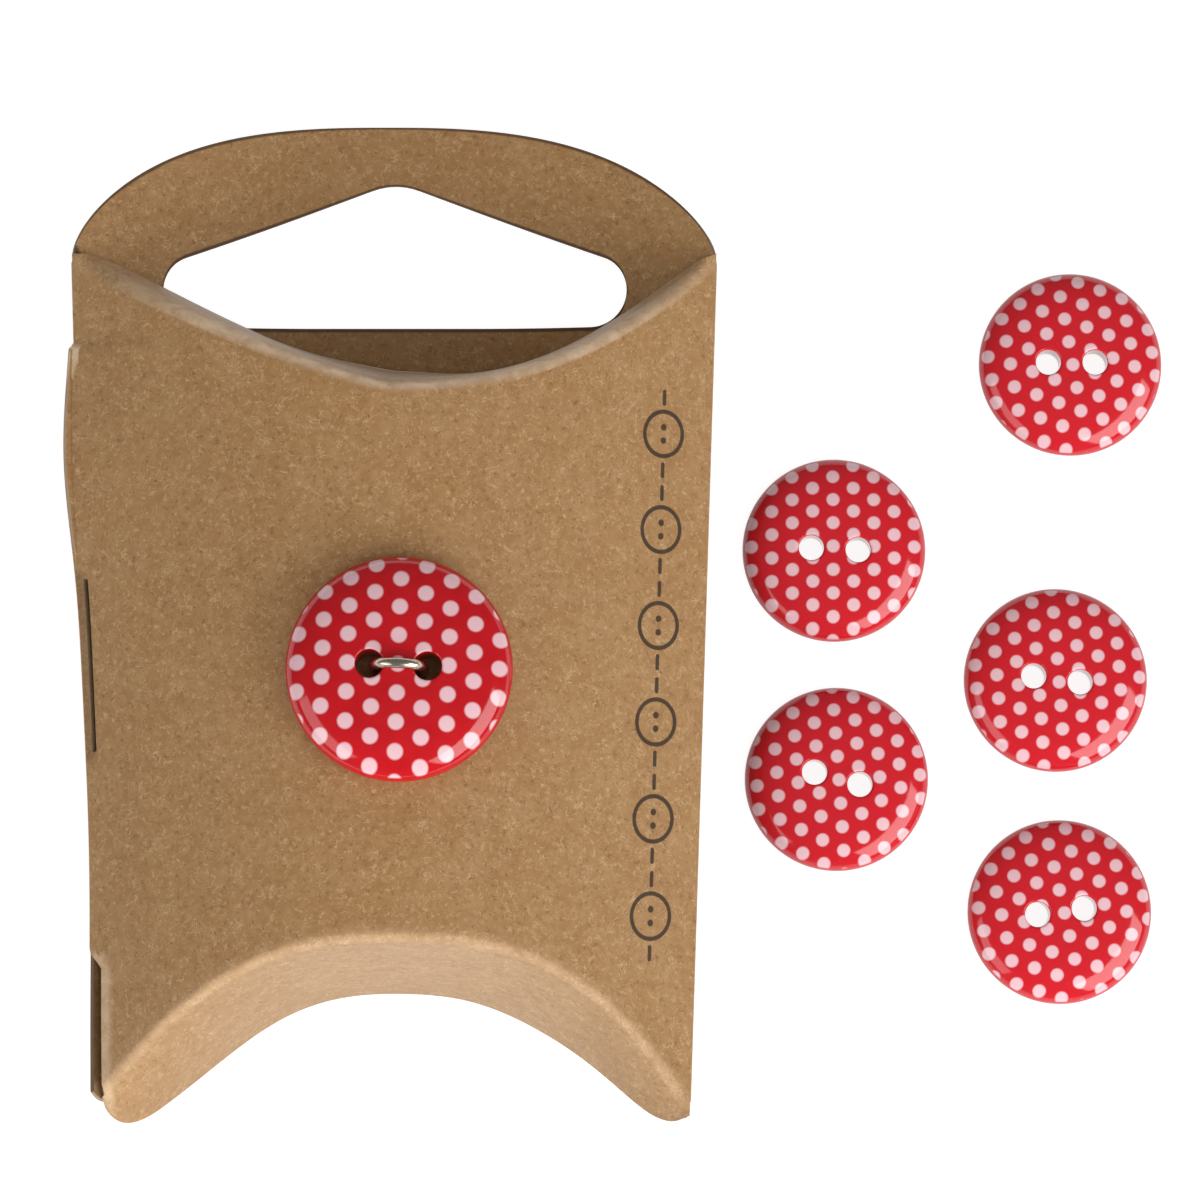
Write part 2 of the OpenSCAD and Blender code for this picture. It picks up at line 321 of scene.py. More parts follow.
foot_edge_y -= RIGHT_BELLY * bell(u, RIGHT_BELLY_AT, BELLY_SPREAD)
foot_u = drawn_in(u, foot_y)
foot_edge = on_front(foot_u, foot_edge_y)
foot_edge[:, 2] = np.minimum(back_z(foot_u, foot_edge_y) + FLAP_CLEAR, foot_edge[:, 2])
down = np.linspace(PANEL_INSET, 1 - PANEL_INSET, PANEL_ROWS)[:, None]
panel_y = mix(head_y - HEAD_CREASE_R, foot_y + FOOT_CREASE_R, down)
panel = on_front(drawn_in(u[None, :], panel_y), panel_y)
head_fold = crease(head_edge, on_front(u, head_y), panel[0], HEAD_CREASE_R)
foot_fold = crease(panel[-1], on_front(foot_u, foot_y), foot_edge, FOOT_CREASE_R)
front_points = np.concatenate([
    between(head_edge, head_fold[0], FLAP_ROWS), head_fold, panel, foot_fold,
    between(foot_fold[-1], foot_edge, FLAP_ROWS)[1:], foot_edge[None]])
front_rows = len(front_points)
number = np.arange(front_rows * len(u)).reshape(front_rows, len(u))
cell_y = (front_points[:-1, :-1, 1] + front_points[1:, 1:, 1]) / 2
cell_u = (u[:-1] + u[1:])[None, :] / 2
slit = (cell_u > slit_u) & (cell_u < slit_end_u) & (np.abs(cell_y - slit_mid) < SLIT_LEN / 2)
first_panel_row = FLAP_ROWS + CREASE_ROWS + 1
first_foot_row = first_panel_row + PANEL_ROWS
head_wear = np.clip(np.minimum(u - WEAR_FROM, WEAR_TO - u) / WEAR_FADE, LEAST_WEAR, 1)
mid_fold = bell(u, 0, MID_WEAR_SPREAD)
head_lag = mix(SIDE_WEAR_LAG, MID_WEAR_LAG, mid_fold)
head_narrow = mix(SIDE_WEAR_NARROW, MID_WEAR_NARROW, mid_fold)
foot_crease_wear = FOOT_WEAR * crease_wear(FOOT_WEAR_LAG, FOOT_WEAR_NARROW)
front_wear_and_highlight = np.zeros((front_rows, len(u)))
# Painted highlight along the head flap's free edge, where it springs out
front_wear_and_highlight[:EDGE_ROWS] = sprung
# The head crease's pale band: scuffing, and painted sheen on its rounded fold
front_wear_and_highlight[FLAP_ROWS:first_panel_row] = head_wear * crease_wear(head_lag, head_narrow)
# The foot flap painted a little paler
front_wear_and_highlight[first_foot_row:] = FLAP_WEAR
front_wear_and_highlight[first_foot_row:first_foot_row + CREASE_ROWS + 1] += foot_crease_wear
row_y = front_points[..., 1]
from_left = (1 + u)[None, :] * half_width(row_y)
beside_gap = (row_y < gap_top) * np.clip(GAP_WEAR_REACH - from_left / SIDE_WEAR_W, 0, 1)
front_wear_and_highlight = np.maximum(front_wear_and_highlight, GAP_WEAR * beside_gap)
tab_w = TAB_W * np.minimum(1, TAB_TAPER * (row_y - TAB_FROM) / (SEAM_STEP_Y - TAB_FROM))
front_wear_and_highlight[(from_left < tab_w) & (row_y < SEAM_STEP_Y)] = TAB_WEAR
# Painted shade beside the slit and down the middle of the head flap's face
along_slit = np.abs(row_y - slit_mid) < SLIT_LEN / 2 + SLIT_SHADE_PAST
front_painted_shade = SLIT_SHADE * along_slit * np.clip(SLIT_SHADE_REACH - from_left / SIDE_WEAR_W, 0, 1)
down_flap = np.linspace(1, FLAP_SHADE_END, FLAP_ROWS - EDGE_ROWS)[:, None]
front_painted_shade[EDGE_ROWS:FLAP_ROWS] = FLAP_SHADE * sprung * down_flap
stitch = np.stack([
    (u[None, :] - STITCH_AT) * half_width(row_y) * PANEL_FALL, row_y - STITCH_FROM,
    ((row_y > STITCH_FROM) & (row_y < STITCH_TO)).astype(float)], axis=-1)
stitch[:FLAP_ROWS + CREASE_ROWS] = 0
stitch[first_foot_row:] = 0
front_mesh = board("carton_front", front_points, ~slit, number, front_wear_and_highlight, front_painted_shade, stitch)

# Back sheet
# The header with its three-cornered hang hole, the back panel, the foot crease and the inner flap.
# The header's top leans a little to the left, and its hole has a round peak and two round ends.
HEADER_H = 12.4 * MM
HEADER_SHIFT = 0.8 * MM
ARCH_POWER = 2.8
ARCH_ROUND = 0.7
HANG_W = 42.9 * MM
HANG_OVER = 7.3 * MM
HANG_UNDER = 6 * MM
HANG_PEAK_R = 6 * MM
HANG_END_R = 3.35 * MM
HANG_COLUMNS = 90
ARM_COLUMNS = 34
HEADER_ROWS = 26
BACK_ROWS = 120
ARM_CROWD = 1.5
EDGE_SHARES = (0, 0.024, 0.04)
HEADER_INSET = 0.08
HOLE_EDGE_SHARES = (0, 0.0045, 0.007)
BACK_FROM = 0.015
BACK_TO = 0.995
HANG_EASE_POWER = 3
TOUCH = 1e-9
BACK_TIP_ROUND = 1.8 * MM
BACK_TIP_FROM = 0.94
# Painted shade on the back sheet: dark lines along the header's top and the hang hole's edges, a
# darkening over the header's middle and on the face under the hang hole, along the open seam's back edge,
# and in the header's left corner
EDGE_SHADE = 0.85
HEADER_SHADE = 0.14
HEADER_SHADE_SPREAD = 0.6
HOLE_FACE_SHADE = 0.3
HOLE_FACE_SPREAD = 0.4
HOLE_FACE_ROWS = 20
GAP_SHADE = 0.75
GAP_SHADE_PAST = 1 * MM
CORNER_SHADE = 0.8
CORNER_SHADE_U = 0.03
CORNER_SHADE_H = 1.7 * MM


def on_back_at(x, y):
    """Points of the back panel at a place across and along."""
    return np.stack([x, y, back_z(x / half_width(y), y)], axis=-1)


hang_u = HANG_W / 2 / half_width(Y_HEAD)
arm = np.linspace(0, 1, ARM_COLUMNS + 1) ** ARM_CROWD
over_hole = hang_u * np.sin(np.linspace(-math.pi / 2, math.pi / 2, HANG_COLUMNS + 1))
u = np.concatenate([mix(-1, -hang_u, arm)[:-1], over_hole, mix(1, hang_u, arm)[::-1][1:]])
end_x = HANG_W / 2 - HANG_END_R
end_y = Y_HEAD - HANG_UNDER + HANG_END_R
peak_y = Y_HEAD + HANG_OVER - HANG_PEAK_R
peak_over = peak_y - end_y
lean = math.atan2(peak_over, end_x) + math.asin((HANG_PEAK_R - HANG_END_R) / math.hypot(end_x, peak_over))
beside = np.abs(u) >= hang_u - TOUCH
arm_share = np.clip((np.abs(u) - hang_u) / (1 - hang_u), 0, 1)
arm_x = np.sign(u) * mix(HANG_W / 2, np.abs(side_x(np.sign(u), end_y)), arm_share)
hang_x = np.where(beside, arm_x, u / hang_u * HANG_W / 2)
across = np.abs(hang_x)
round_end = np.sqrt(np.maximum(0, HANG_END_R ** 2 - np.maximum(0, across - end_x) ** 2))
round_peak = peak_y + np.sqrt(np.maximum(0, HANG_PEAK_R ** 2 - across ** 2))
slope = peak_y + (HANG_PEAK_R - across * math.sin(lean)) / math.cos(lean)
hole_top = np.where(across < HANG_PEAK_R * math.sin(lean), round_peak,
                    np.where(across < end_x + HANG_END_R * math.sin(lean), slope, end_y + round_end))
hole_low = np.where(across < end_x, Y_HEAD - HANG_UNDER, end_y - round_end)
hole_top = np.where(beside, end_y, hole_top)
hole_low = np.where(beside, end_y, hole_low)
arch_y = Y_HEAD + TIP_LEN + HEADER_H * np.maximum(0, 1 - np.abs(u) ** ARCH_POWER) ** ARCH_ROUND
arch_x = side_x(u, arch_y) - HEADER_SHIFT * np.maximum(0, arch_y - Y_HEAD) / HEADER_H
back_y = foot_crease_y(u, BACK_RISE) + BACK_TIP_ROUND * tip_rise(-u, BACK_TIP_FROM)
inner_y = mix(Y_FOOT - TIP_LEN, foot_crease_y(u, FOOT_RISE) + BOARD_T + FLAP_CLEAR, tip_taper(u))
inner_y += BACK_TIP_ROUND * tip_rise(-u, BACK_TIP_FROM)
inner_edge = on_back(u, inner_y)
inner_edge[:, 2] = mix(inner_edge[:, 2], front_z(u, inner_y), INNER_FLAP_SHARE * tip_taper(u))
edge = np.array(EDGE_SHARES)
inside = np.linspace(HEADER_INSET, 1 - HEADER_INSET, HEADER_ROWS - 2 * len(edge))
down = np.concatenate([edge, inside, 1 - edge[::-1]])[:, None]
header = on_back_at(mix(arch_x, hang_x, down), mix(arch_y, hole_top, down))
below = np.linspace(BACK_FROM, BACK_TO, BACK_ROWS - len(HOLE_EDGE_SHARES))
down = np.concatenate([HOLE_EDGE_SHARES, below])[:, None]
lower_y = mix(hole_low, back_y + FOOT_CREASE_R, down)
hole_draw = (hang_x - side_x(u, hole_low)) * (1 - down) ** HANG_EASE_POWER
lower = on_back_at(side_x(u, lower_y) + hole_draw, lower_y)
back_fold = crease(lower[-1], on_back(u, back_y), inner_edge, FOOT_CREASE_R)
back_points = np.concatenate([
    header, lower, back_fold, between(back_fold[-1], inner_edge, FLAP_ROWS)[1:], inner_edge[None]])
back_rows = len(back_points)
number = np.arange(back_rows * len(u)).reshape(back_rows, len(u))
number[HEADER_ROWS, beside] = number[HEADER_ROWS - 1, beside]
keep = np.ones((back_rows - 1, len(u) - 1), bool)
keep[HEADER_ROWS - 1] = False
back_worn = np.zeros((back_rows, len(u)))
back_worn[HEADER_ROWS + BACK_ROWS:][:CREASE_ROWS + 1] = foot_crease_wear
# Painted shade, where the back sheet lies in the front's shadow and along its shaded edges
back_painted_shade = np.zeros((back_rows, len(u)))
back_painted_shade[:HEADER_ROWS] = HEADER_SHADE * bell(u, 0, HEADER_SHADE_SPREAD)
down_face = np.linspace(1, 0, HOLE_FACE_ROWS)[:, None]
back_painted_shade[HEADER_ROWS:][:HOLE_FACE_ROWS] = HOLE_FACE_SHADE * down_face * bell(u, 0, HOLE_FACE_SPREAD)
back_painted_shade[:EDGE_ROWS] = EDGE_SHADE
round_hole = slice(HEADER_ROWS - EDGE_ROWS, HEADER_ROWS + EDGE_ROWS)
back_painted_shade[round_hole] = EDGE_SHADE * (np.abs(u) < hang_u + TOUCH)
back_painted_shade[back_points[:, 0, 1] < gap_top + GAP_SHADE_PAST, 0] = GAP_SHADE
above_head = back_points[..., 1] - Y_HEAD
in_corner = (1 + u) / CORNER_SHADE_U + above_head / CORNER_SHADE_H < 1
back_painted_shade[(above_head > 0) & in_corner] = CORNER_SHADE
unprinted = np.zeros(back_points.shape)
back_mesh = board("carton_back", back_points, keep, number, back_worn, back_painted_shade, unprinted)

# Side folds
# The board runs round both sides in a tight fold, a round nose as thick as the board. The left one
# stops where the seam is open.
FOLD_ROWS = 240
FOLD_SIDES = 16
FOLD_END_ROWS = 3
FOLD_WEAR = 0.15
MERGE_WITHIN = 1e-7


def rod(path, radius, side, sides):
    """A round rod carried along a path: circles of a radius at each point, square to the path, with
    one of their two axes along side. Its ends are closed where the radius falls to nothing."""
    forward = np.gradient(path, axis=0)
    forward /= np.linalg.norm(forward, axis=-1, keepdims=True)
    up = np.cross(forward, side)
    up /= np.linalg.norm(up, axis=-1, keepdims=True)
    out = np.cross(up, forward)
    angle = np.linspace(0, 2 * math.pi, sides, endpoint=False)[None, :, None]
    circles = np.cos(angle) * out[:, None] + np.sin(angle) * up[:, None]
    rings = path[:, None] + radius[:, None, None] * circles
    number = np.arange(len(path) * sides).reshape(len(path), sides)
    number = np.concatenate([number, number[:, :1]], axis=1)
    quads = np.stack([number[:-1, :-1], number[:-1, 1:], number[1:, 1:], number[1:, :-1]], axis=-1)
    return rings.reshape(-1, 3), quads.reshape(-1, 4)


def rounded(count, steps):
    """Shares of a radius along a rod: a quarter circle up from nothing at each end."""
    rise = np.sin(np.linspace(0, math.pi / 2, steps))
    return np.concatenate([rise, np.ones(count - 2 * steps), rise[::-1]])


def close_up(mesh):
    """Merges a mesh's shared points, turns its faces outwards and shades it smooth."""
    work = bmesh.new()
    work.from_mesh(mesh)
    bmesh.ops.remove_doubles(work, verts=work.verts, dist=MERGE_WITHIN)
    bmesh.ops.recalc_face_normals(work, faces=work.faces)
    work.to_mesh(mesh)
    work.free()
    mesh.shade_smooth()


def closed_mesh(name, points, quads):
    """A closed mesh of points and quads."""
    mesh = bpy.data.meshes.new(name)
    mesh.from_pydata(points, [], quads.tolist())
    close_up(mesh)
    return mesh


fold_points = []
fold_quads = []
for way, low in ((1.0, Y_FOOT), (-1.0, gap_top)):
    y = np.linspace(low, Y_HEAD, FOLD_ROWS)
    path = np.stack([side_x(way, y), y, BOARD_T / 2 + back_bow(y)], axis=-1)
    radius = BOARD_T / 2 * rounded(FOLD_ROWS, FOLD_END_ROWS)
    points, quads = rod(path, radius, np.array([1.0, 0, 0]), FOLD_SIDES)
    fold_quads.append(quads + sum(len(p) for p in fold_points))
    fold_points.append(points)
fold_mesh = closed_mesh("carton_folds", np.concatenate(fold_points), np.concatenate(fold_quads))
mark(fold_mesh, "wear_and_highlight", np.full(len(fold_mesh.vertices), FOLD_WEAR))

# Kraft board's finish
# Uncoated brown paper: soft mottling, short pale and dark fibres, fine dark specks and a slight
# tooth. Creases are scuffed pale, and the same pale paint stands in for painted highlights and
# sheen on the head crease and the head flap's edge, and paints the foot flap a little paler. Cut
# edges show the greyer core, and painted shade darkens edges, the slit, the open seam, the header
# and the hollow under the hang hole.
KRAFT = (0.404, 0.216, 0.081, 1)
KRAFT_PALE = (0.62, 0.42, 0.22, 1)
KRAFT_DARK = (0.200, 0.092, 0.033, 1)
# Pale scuffing, also used as painted highlight and sheen
KRAFT_WEAR_AND_HIGHLIGHT = (0.90, 0.66, 0.44, 1)
KRAFT_CUT = (0.42, 0.31, 0.21, 1)
# Painted shade
KRAFT_PAINTED_SHADE = (0.072, 0.036, 0.018, 1)
# Patches: colour; the noise's waves to the millimetre, detail, distortion and shift; the values of
# the noise between which the patch comes in; and its share
KRAFT_PATCHES = (
    (KRAFT_PALE, (0.25, 3, 0, 7), (0.42, 0.75), 0.16),
    (KRAFT_PALE, (1.3, 3, 0.4, 3), (0.50, 0.75), 0.22),
    (KRAFT_DARK, (1.3, 3, 0.4, 3), (0.50, 0.25), 0.22),
    (KRAFT_DARK, (2.1, 2, 0.3, 15), (0.60, 0.72), 0.52),
    (KRAFT_PALE, (2.4, 2, 0.6, 41), (0.59, 0.71), 0.58),
)
# Fibres: colour, waves to the millimetre, share, and the shift of the noise in each layer
KRAFT_FIBRES = (
    (KRAFT_PALE, 0.75, 0.62, (11, 23, 37, 51)),
    (KRAFT_DARK, 0.85, 0.45, (67, 83)),
)
FIBRE_W = 0.018
FIBRE_CURL = 1.6
FIBRE_BREAK_SCALE = 0.9
FIBRE_BREAKS = (0.54, 0.62)
TOOTH_NOISE = (5.0, 3, 0, 0)
SCUFF_NOISE = (0.6, 5, 0.6, 29)
SCUFF_RANGE = (0.36, 0.60, 0.55, 1.0)
CUT_SHARE = 0.75
# A mix node's sockets for colours, by number, because its sockets for other kinds have the same names
MIX_AMOUNT = 0
MIX_UNDER = 6
MIX_OVER = 7
MIX_COLOUR = 2

kraft = bpy.data.materials.new("kraft_board")
kraft.use_nodes = True
tree = kraft.node_tree
kraft_shader = tree.nodes["Principled BSDF"]
kraft_shader.inputs["Roughness"].default_value = 0.56
kraft_shader.inputs["Specular IOR Level"].default_value = 0.3
kraft_shader.inputs["Sheen Weight"].default_value = 0.20
kraft_shader.inputs["Sheen Roughness"].default_value = 0.4
where = tree.nodes.new("ShaderNodeTexCoord")


def kraft_noise(scale, detail, distortion, shift):
    """Noise in object space, in waves to the millimetre, moved along by a shift."""
    mapping = tree.nodes.new("ShaderNodeMapping")
    mapping.inputs["Location"].default_value = (shift, 2 * shift, -shift)
    mapping.inputs["Scale"].default_value = (1 / MM, 1 / MM, 1 / MM)
    tree.links.new(where.outputs["Object"], mapping.inputs["Vector"])
    noise = tree.nodes.new("ShaderNodeTexNoise")
    noise.inputs["Scale"].default_value = scale
    noise.inputs["Detail"].default_value = detail
    noise.inputs["Distortion"].default_value = distortion
    tree.links.new(mapping.outputs["Vector"], noise.inputs["Vector"])
    return noise.outputs["Fac"]


def window(tree, value, low, high, start, end):
    """A value carried from the range low to high to the range start to end, and held there."""
    node = tree.nodes.new("ShaderNodeMapRange")
    for socket, number in zip(("From Min", "From Max", "To Min", "To Max"), (low, high, start, end)):
        node.inputs[socket].default_value = number
    tree.links.new(value, node.inputs["Value"])
    return node.outputs["Result"]


def laid_over(tree, under, colour, amount):
    """One colour laid over another by an amount."""
    node = tree.nodes.new("ShaderNodeMix")
    node.data_type = "RGBA"
    node.inputs[MIX_OVER].default_value = colour
    tree.links.new(amount, node.inputs[MIX_AMOUNT])
    if isinstance(under, tuple):
        node.inputs[MIX_UNDER].default_value = under
    else:
        tree.links.new(under, node.inputs[MIX_UNDER])
    return node.outputs[MIX_COLOUR]


def reckon(tree, operation, a, b):
    """An operation on two values, each a socket or a number."""
    node = tree.nodes.new("ShaderNodeMath")
    node.operation = operation
    for socket, value in zip(node.inputs, (a, b)):
        if isinstance(value, (int, float)):
            socket.default_value = value
        else:
            tree.links.new(value, socket)
    return node.outputs[0]


def apart(tree, a, b):
    """How far apart two values are."""
    return reckon(tree, "ABSOLUTE", reckon(tree, "SUBTRACT", a, b), 0)


def attribute(tree, name):
    """A mesh attribute's node."""
    node = tree.nodes.new("ShaderNodeAttribute")
    node.attribute_name = name
    return node


def kraft_fibre(scale, shift):
    """Short curly fibres: thin lines where a noise passes its middle value, broken up by another."""
    off_middle = apart(tree, kraft_noise(scale, 1, FIBRE_CURL, shift), 0.5)
    line = window(tree, off_middle, FIBRE_W / 3, FIBRE_W, 1, 0)
    breaks = window(tree, kraft_noise(scale * FIBRE_BREAK_SCALE, 1, 0, -shift), *FIBRE_BREAKS, 0, 1)
    return reckon(tree, "MULTIPLY", line, breaks)


paint = KRAFT
for colour, noise, values, share in KRAFT_PATCHES:
    paint = laid_over(tree, paint, colour, window(tree, kraft_noise(*noise), *values, 0, share))
for colour, scale, share, shifts in KRAFT_FIBRES:
    for shift in shifts:
        paint = laid_over(tree, paint, colour, reckon(tree, "MULTIPLY", kraft_fibre(scale, shift), share))

# The print: a row of line-drawn buttons with a running stitch between them, repeated along the row,
# in millimetres
INK = (0.030, 0.018, 0.011, 1)
INK_SHARE = 0.9
PRINT_PITCH = 8.8
PRINT_RING = 2.05
PRINT_STROKE = 0.19
PRINT_HOLE_AT = 0.62
PRINT_HOLE_R = 0.30
PRINT_DASH_AT = 3.35
PRINT_DASH_HALF = 0.55
PRINT_SOFT = (-0.03, 0.05)
stitch_at = tree.nodes.new("ShaderNodeSeparateXYZ")
tree.links.new(attribute(tree, "stitch").outputs["Vector"], stitch_at.inputs[0])
off_line = reckon(tree, "MULTIPLY", stitch_at.outputs[0], 1 / MM)
off_square = reckon(tree, "MULTIPLY", off_line, off_line)
along_row = reckon(tree, "MODULO", reckon(tree, "MULTIPLY", stitch_at.outputs[1], 1 / MM), PRINT_PITCH)
along_row = apart(tree, along_row, PRINT_PITCH / 2)


def print_reach(along):
    """Distance from a point of the row's middle line, so far along."""
    along_square = reckon(tree, "MULTIPLY", along, along)
    return reckon(tree, "SQRT", reckon(tree, "ADD", along_square, off_square), 0)


to_ring = reckon(tree, "SUBTRACT", apart(tree, print_reach(along_row), PRINT_RING), PRINT_STROKE)
from_hole = print_reach(reckon(tree, "SUBTRACT", along_row, PRINT_HOLE_AT))
to_hole = reckon(tree, "SUBTRACT", from_hole, PRINT_HOLE_R)
past_dash = reckon(tree, "SUBTRACT", apart(tree, along_row, PRINT_DASH_AT), PRINT_DASH_HALF)
past_dash = reckon(tree, "MAXIMUM", past_dash, 0)
to_dash = reckon(tree, "SUBTRACT", print_reach(past_dash), PRINT_STROKE)
to_print = reckon(tree, "MINIMUM", reckon(tree, "MINIMUM", to_ring, to_hole), to_dash)
inked = reckon(tree, "MULTIPLY", window(tree, to_print, *PRINT_SOFT, INK_SHARE, 0), stitch_at.outputs[2])
paint = laid_over(tree, paint, INK, inked)

scuff = window(tree, kraft_noise(*SCUFF_NOISE), *SCUFF_RANGE)
# Scuffing and painted highlights, broken into patches
wear_and_highlight = reckon(tree, "MULTIPLY", attribute(tree, "wear_and_highlight").outputs["Fac"], scuff)
paint = laid_over(tree, paint, KRAFT_WEAR_AND_HIGHLIGHT, wear_and_highlight)
cut = reckon(tree, "MULTIPLY", attribute(tree, "cut").outputs["Fac"], CUT_SHARE)
paint = laid_over(tree, paint, KRAFT_CUT, cut)
# Painted shade laid over the board
paint = laid_over(tree, paint, KRAFT_PAINTED_SHADE, attribute(tree, "painted_shade").outputs["Fac"])
tree.links.new(paint, kraft_shader.inputs["Base Color"])
tooth_bump = tree.nodes.new("ShaderNodeBump")
tooth_bump.inputs["Strength"].default_value = 0.35
tooth_bump.inputs["Distance"].default_value = 0.05 * MM
tree.links.new(kraft_noise(*TOOTH_NOISE), tooth_bump.inputs["Height"])
tree.links.new(tooth_bump.outputs["Normal"], kraft_shader.inputs["Normal"])

scene = bpy.context.scene
for mesh in (front_mesh, back_mesh, fold_mesh):
    mesh.materials.append(kraft)
    sheet = bpy.data.objects.new(mesh.name, mesh)
    scene.collection.objects.link(sheet)
    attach(sheet, "root")
    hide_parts("carton")

# Buttons
# Red resin buttons with a flat back, a rounded rim and a broad shoulder under a flat-topped dome.
# Pale dots are printed under the clear face in staggered columns. Two holes go straight through.
# One is stapled to the crest of the front; five smaller ones lie beside the carton. Their red is
# painted brighter, as painted light that stands in for stronger lighting.
BUTTON_D = 20.3 * MM
BUTTON_H = 4.4 * MM
HOLE_D = 2.5 * MM
HOLE_PITCH = 5.2 * MM
BUTTON_X = 1.03 * MM
BUTTON_Y = -0.13 * MM
BUTTON_TURN = -2.5
SEAT_CLEAR = 0.02 * MM
LOOSE_D = 16.9 * MM
LOOSE_H = 3.8 * MM
LOOSE_HOLE_D = 2.3 * MM
LOOSE_HOLE_PITCH = 4.3 * MM
RIM_SHARE = 0.34
FLAT_BACK_SHARE = 0.8
DOME_POWER = 3
PLAIN_SHARE = 0.45
HOLE_ROUND = 0.24 * MM
HOLE_BACK_ROUND = 0.12 * MM
ROUND_RAYS = 100
LINE_RAYS = 80
FACE_ROWS = 44
MOUTH_ROWS = 6
WALL_ROWS = 4
BACK_FACE_ROWS = 6
SECTION_STEPS = 400
PRINT_MOUTH_ROWS = 3
OFF_PRINT = 2.0
# How each button's print is turned, and how far its middle dot is off the button's middle, in
# shares of the diameter: the stapled button first, then the loose ones
PRINTS = ((-1.8, -0.002, 0.003), (9.7, 0.005, -0.015), (0.0, -0.009, 0.013),
          (4.0, 0.011, -0.018), (3.9, 0.009, -0.009), (12.4, 0.018, -0.009))
LOOSE_TURNS = (0, -2.5, -7.5, -15, 7.5)


def half_button(d, h, hole, pitch):
    """Half of a button round its right hole, as a grid of ray by row. Each ray runs over the face
    from the half's edge to the hole, down the hole's wall and out over the back. The face is laid
    out flat, then wrapped on the section: a dome whose height is the root of one less a power of
    the radius, and a quarter ellipse under the rim. The last value is the share of the button's
    radius on the face, nothing in the hole's mouth and OFF_PRINT elsewhere."""
    rim_z = h * RIM_SHARE
    back_r = d / 2 * FLAT_BACK_SHARE
    quarter = np.linspace(0, math.pi / 2, SECTION_STEPS)
    dome = np.sqrt(np.maximum(0, 1 - np.sin(quarter) ** DOME_POWER))
    section_r = np.concatenate([d / 2 * np.sin(quarter), mix(back_r, d / 2, np.cos(quarter))[1:]])
    section_z = np.concatenate([mix(rim_z, h, dome), rim_z * (1 - np.sin(quarter))[1:]])
    plain_r = PLAIN_SHARE * d / 2
    run = np.concatenate([[0], np.cumsum(np.hypot(np.diff(section_r), np.diff(section_z)))])
    run_at_plain = np.interp(plain_r, section_r[:SECTION_STEPS], run[:SECTION_STEPS])
    run = np.where(run < run_at_plain, section_r, run - run_at_plain + plain_r)
    reach = run[-1]
    rim_run = run[SECTION_STEPS - 1]

    turn = np.linspace(-math.pi / 2, math.pi / 2, ROUND_RAYS + 1)
    line = np.linspace(1, -1, LINE_RAYS + 1)[1:]
    edge_x = np.concatenate([np.cos(turn), 0 * line])
    edge_y = np.concatenate([np.sin(turn), line])
    edge = np.stack([edge_x, edge_y], axis=-1)
    centre = np.array([pitch / 2, 0])
    way = edge * reach - centre
    way /= np.linalg.norm(way, axis=-1, keepdims=True)

    def ring(radius, z):
        """One point of each ray at a radius round the hole and a height."""
        heights = np.broadcast_to(z, (len(way),))[:, None]
        return np.concatenate([centre + way * radius, heights], axis=-1)

    mouth = hole / 2 + HOLE_ROUND
    t = np.linspace(0, 1, FACE_ROWS + 1)[None, :, None]
    flat = mix((edge * reach)[:, None], (centre + way * mouth)[:, None], t)
    flat_r = np.linalg.norm(flat, axis=-1)
    radius = np.interp(flat_r, run, section_r)
    face = np.concatenate([flat * (radius / np.maximum(flat_r, TOUCH))[..., None],
                           np.interp(flat_r, run, section_z)[..., None]], axis=-1)
    mouth_z = face[:, -1, 2]
    bend = np.linspace(0, math.pi / 2, MOUTH_ROWS + 1)[1:]
    mouth_rows = [ring(mouth - HOLE_ROUND * np.sin(a), mouth_z - HOLE_ROUND * (1 - np.cos(a)))
                  for a in bend]
    wall_rows = [ring(hole / 2, mix(mouth_z - HOLE_ROUND, HOLE_BACK_ROUND, s))
                 for s in np.linspace(0, 1, WALL_ROWS + 1)[1:]]
    foot_rows = [ring(hole / 2 + HOLE_BACK_ROUND * (1 - np.cos(a)), HOLE_BACK_ROUND * (1 - np.sin(a)))
                 for a in bend]
    out = np.linspace(0, 1, BACK_FACE_ROWS + 1)[1:]
    last = foot_rows[-1]
    rim = np.concatenate([edge * back_r, np.zeros((len(edge), 1))], axis=-1)
    back = [mix(last, rim, s) for s in out]
    wall = np.stack(mouth_rows + wall_rows + foot_rows + back, axis=1)
    face_share = np.where(flat_r <= rim_run, radius / (d / 2), OFF_PRINT)
    wall_share = np.full(wall.shape[:2], OFF_PRINT)
    wall_share[:, :PRINT_MOUTH_ROWS] = 0
    share = np.concatenate([face_share, wall_share], axis=1)
    return np.concatenate([np.concatenate([face, wall], axis=1), share[..., None]], axis=-1)


def turn_matrix(degrees):
    """What turns rows of points round the upright axis."""
    cos, sin = math.cos(math.radians(degrees)), math.sin(math.radians(degrees))
    return np.array([[cos, sin], [-sin, cos]])


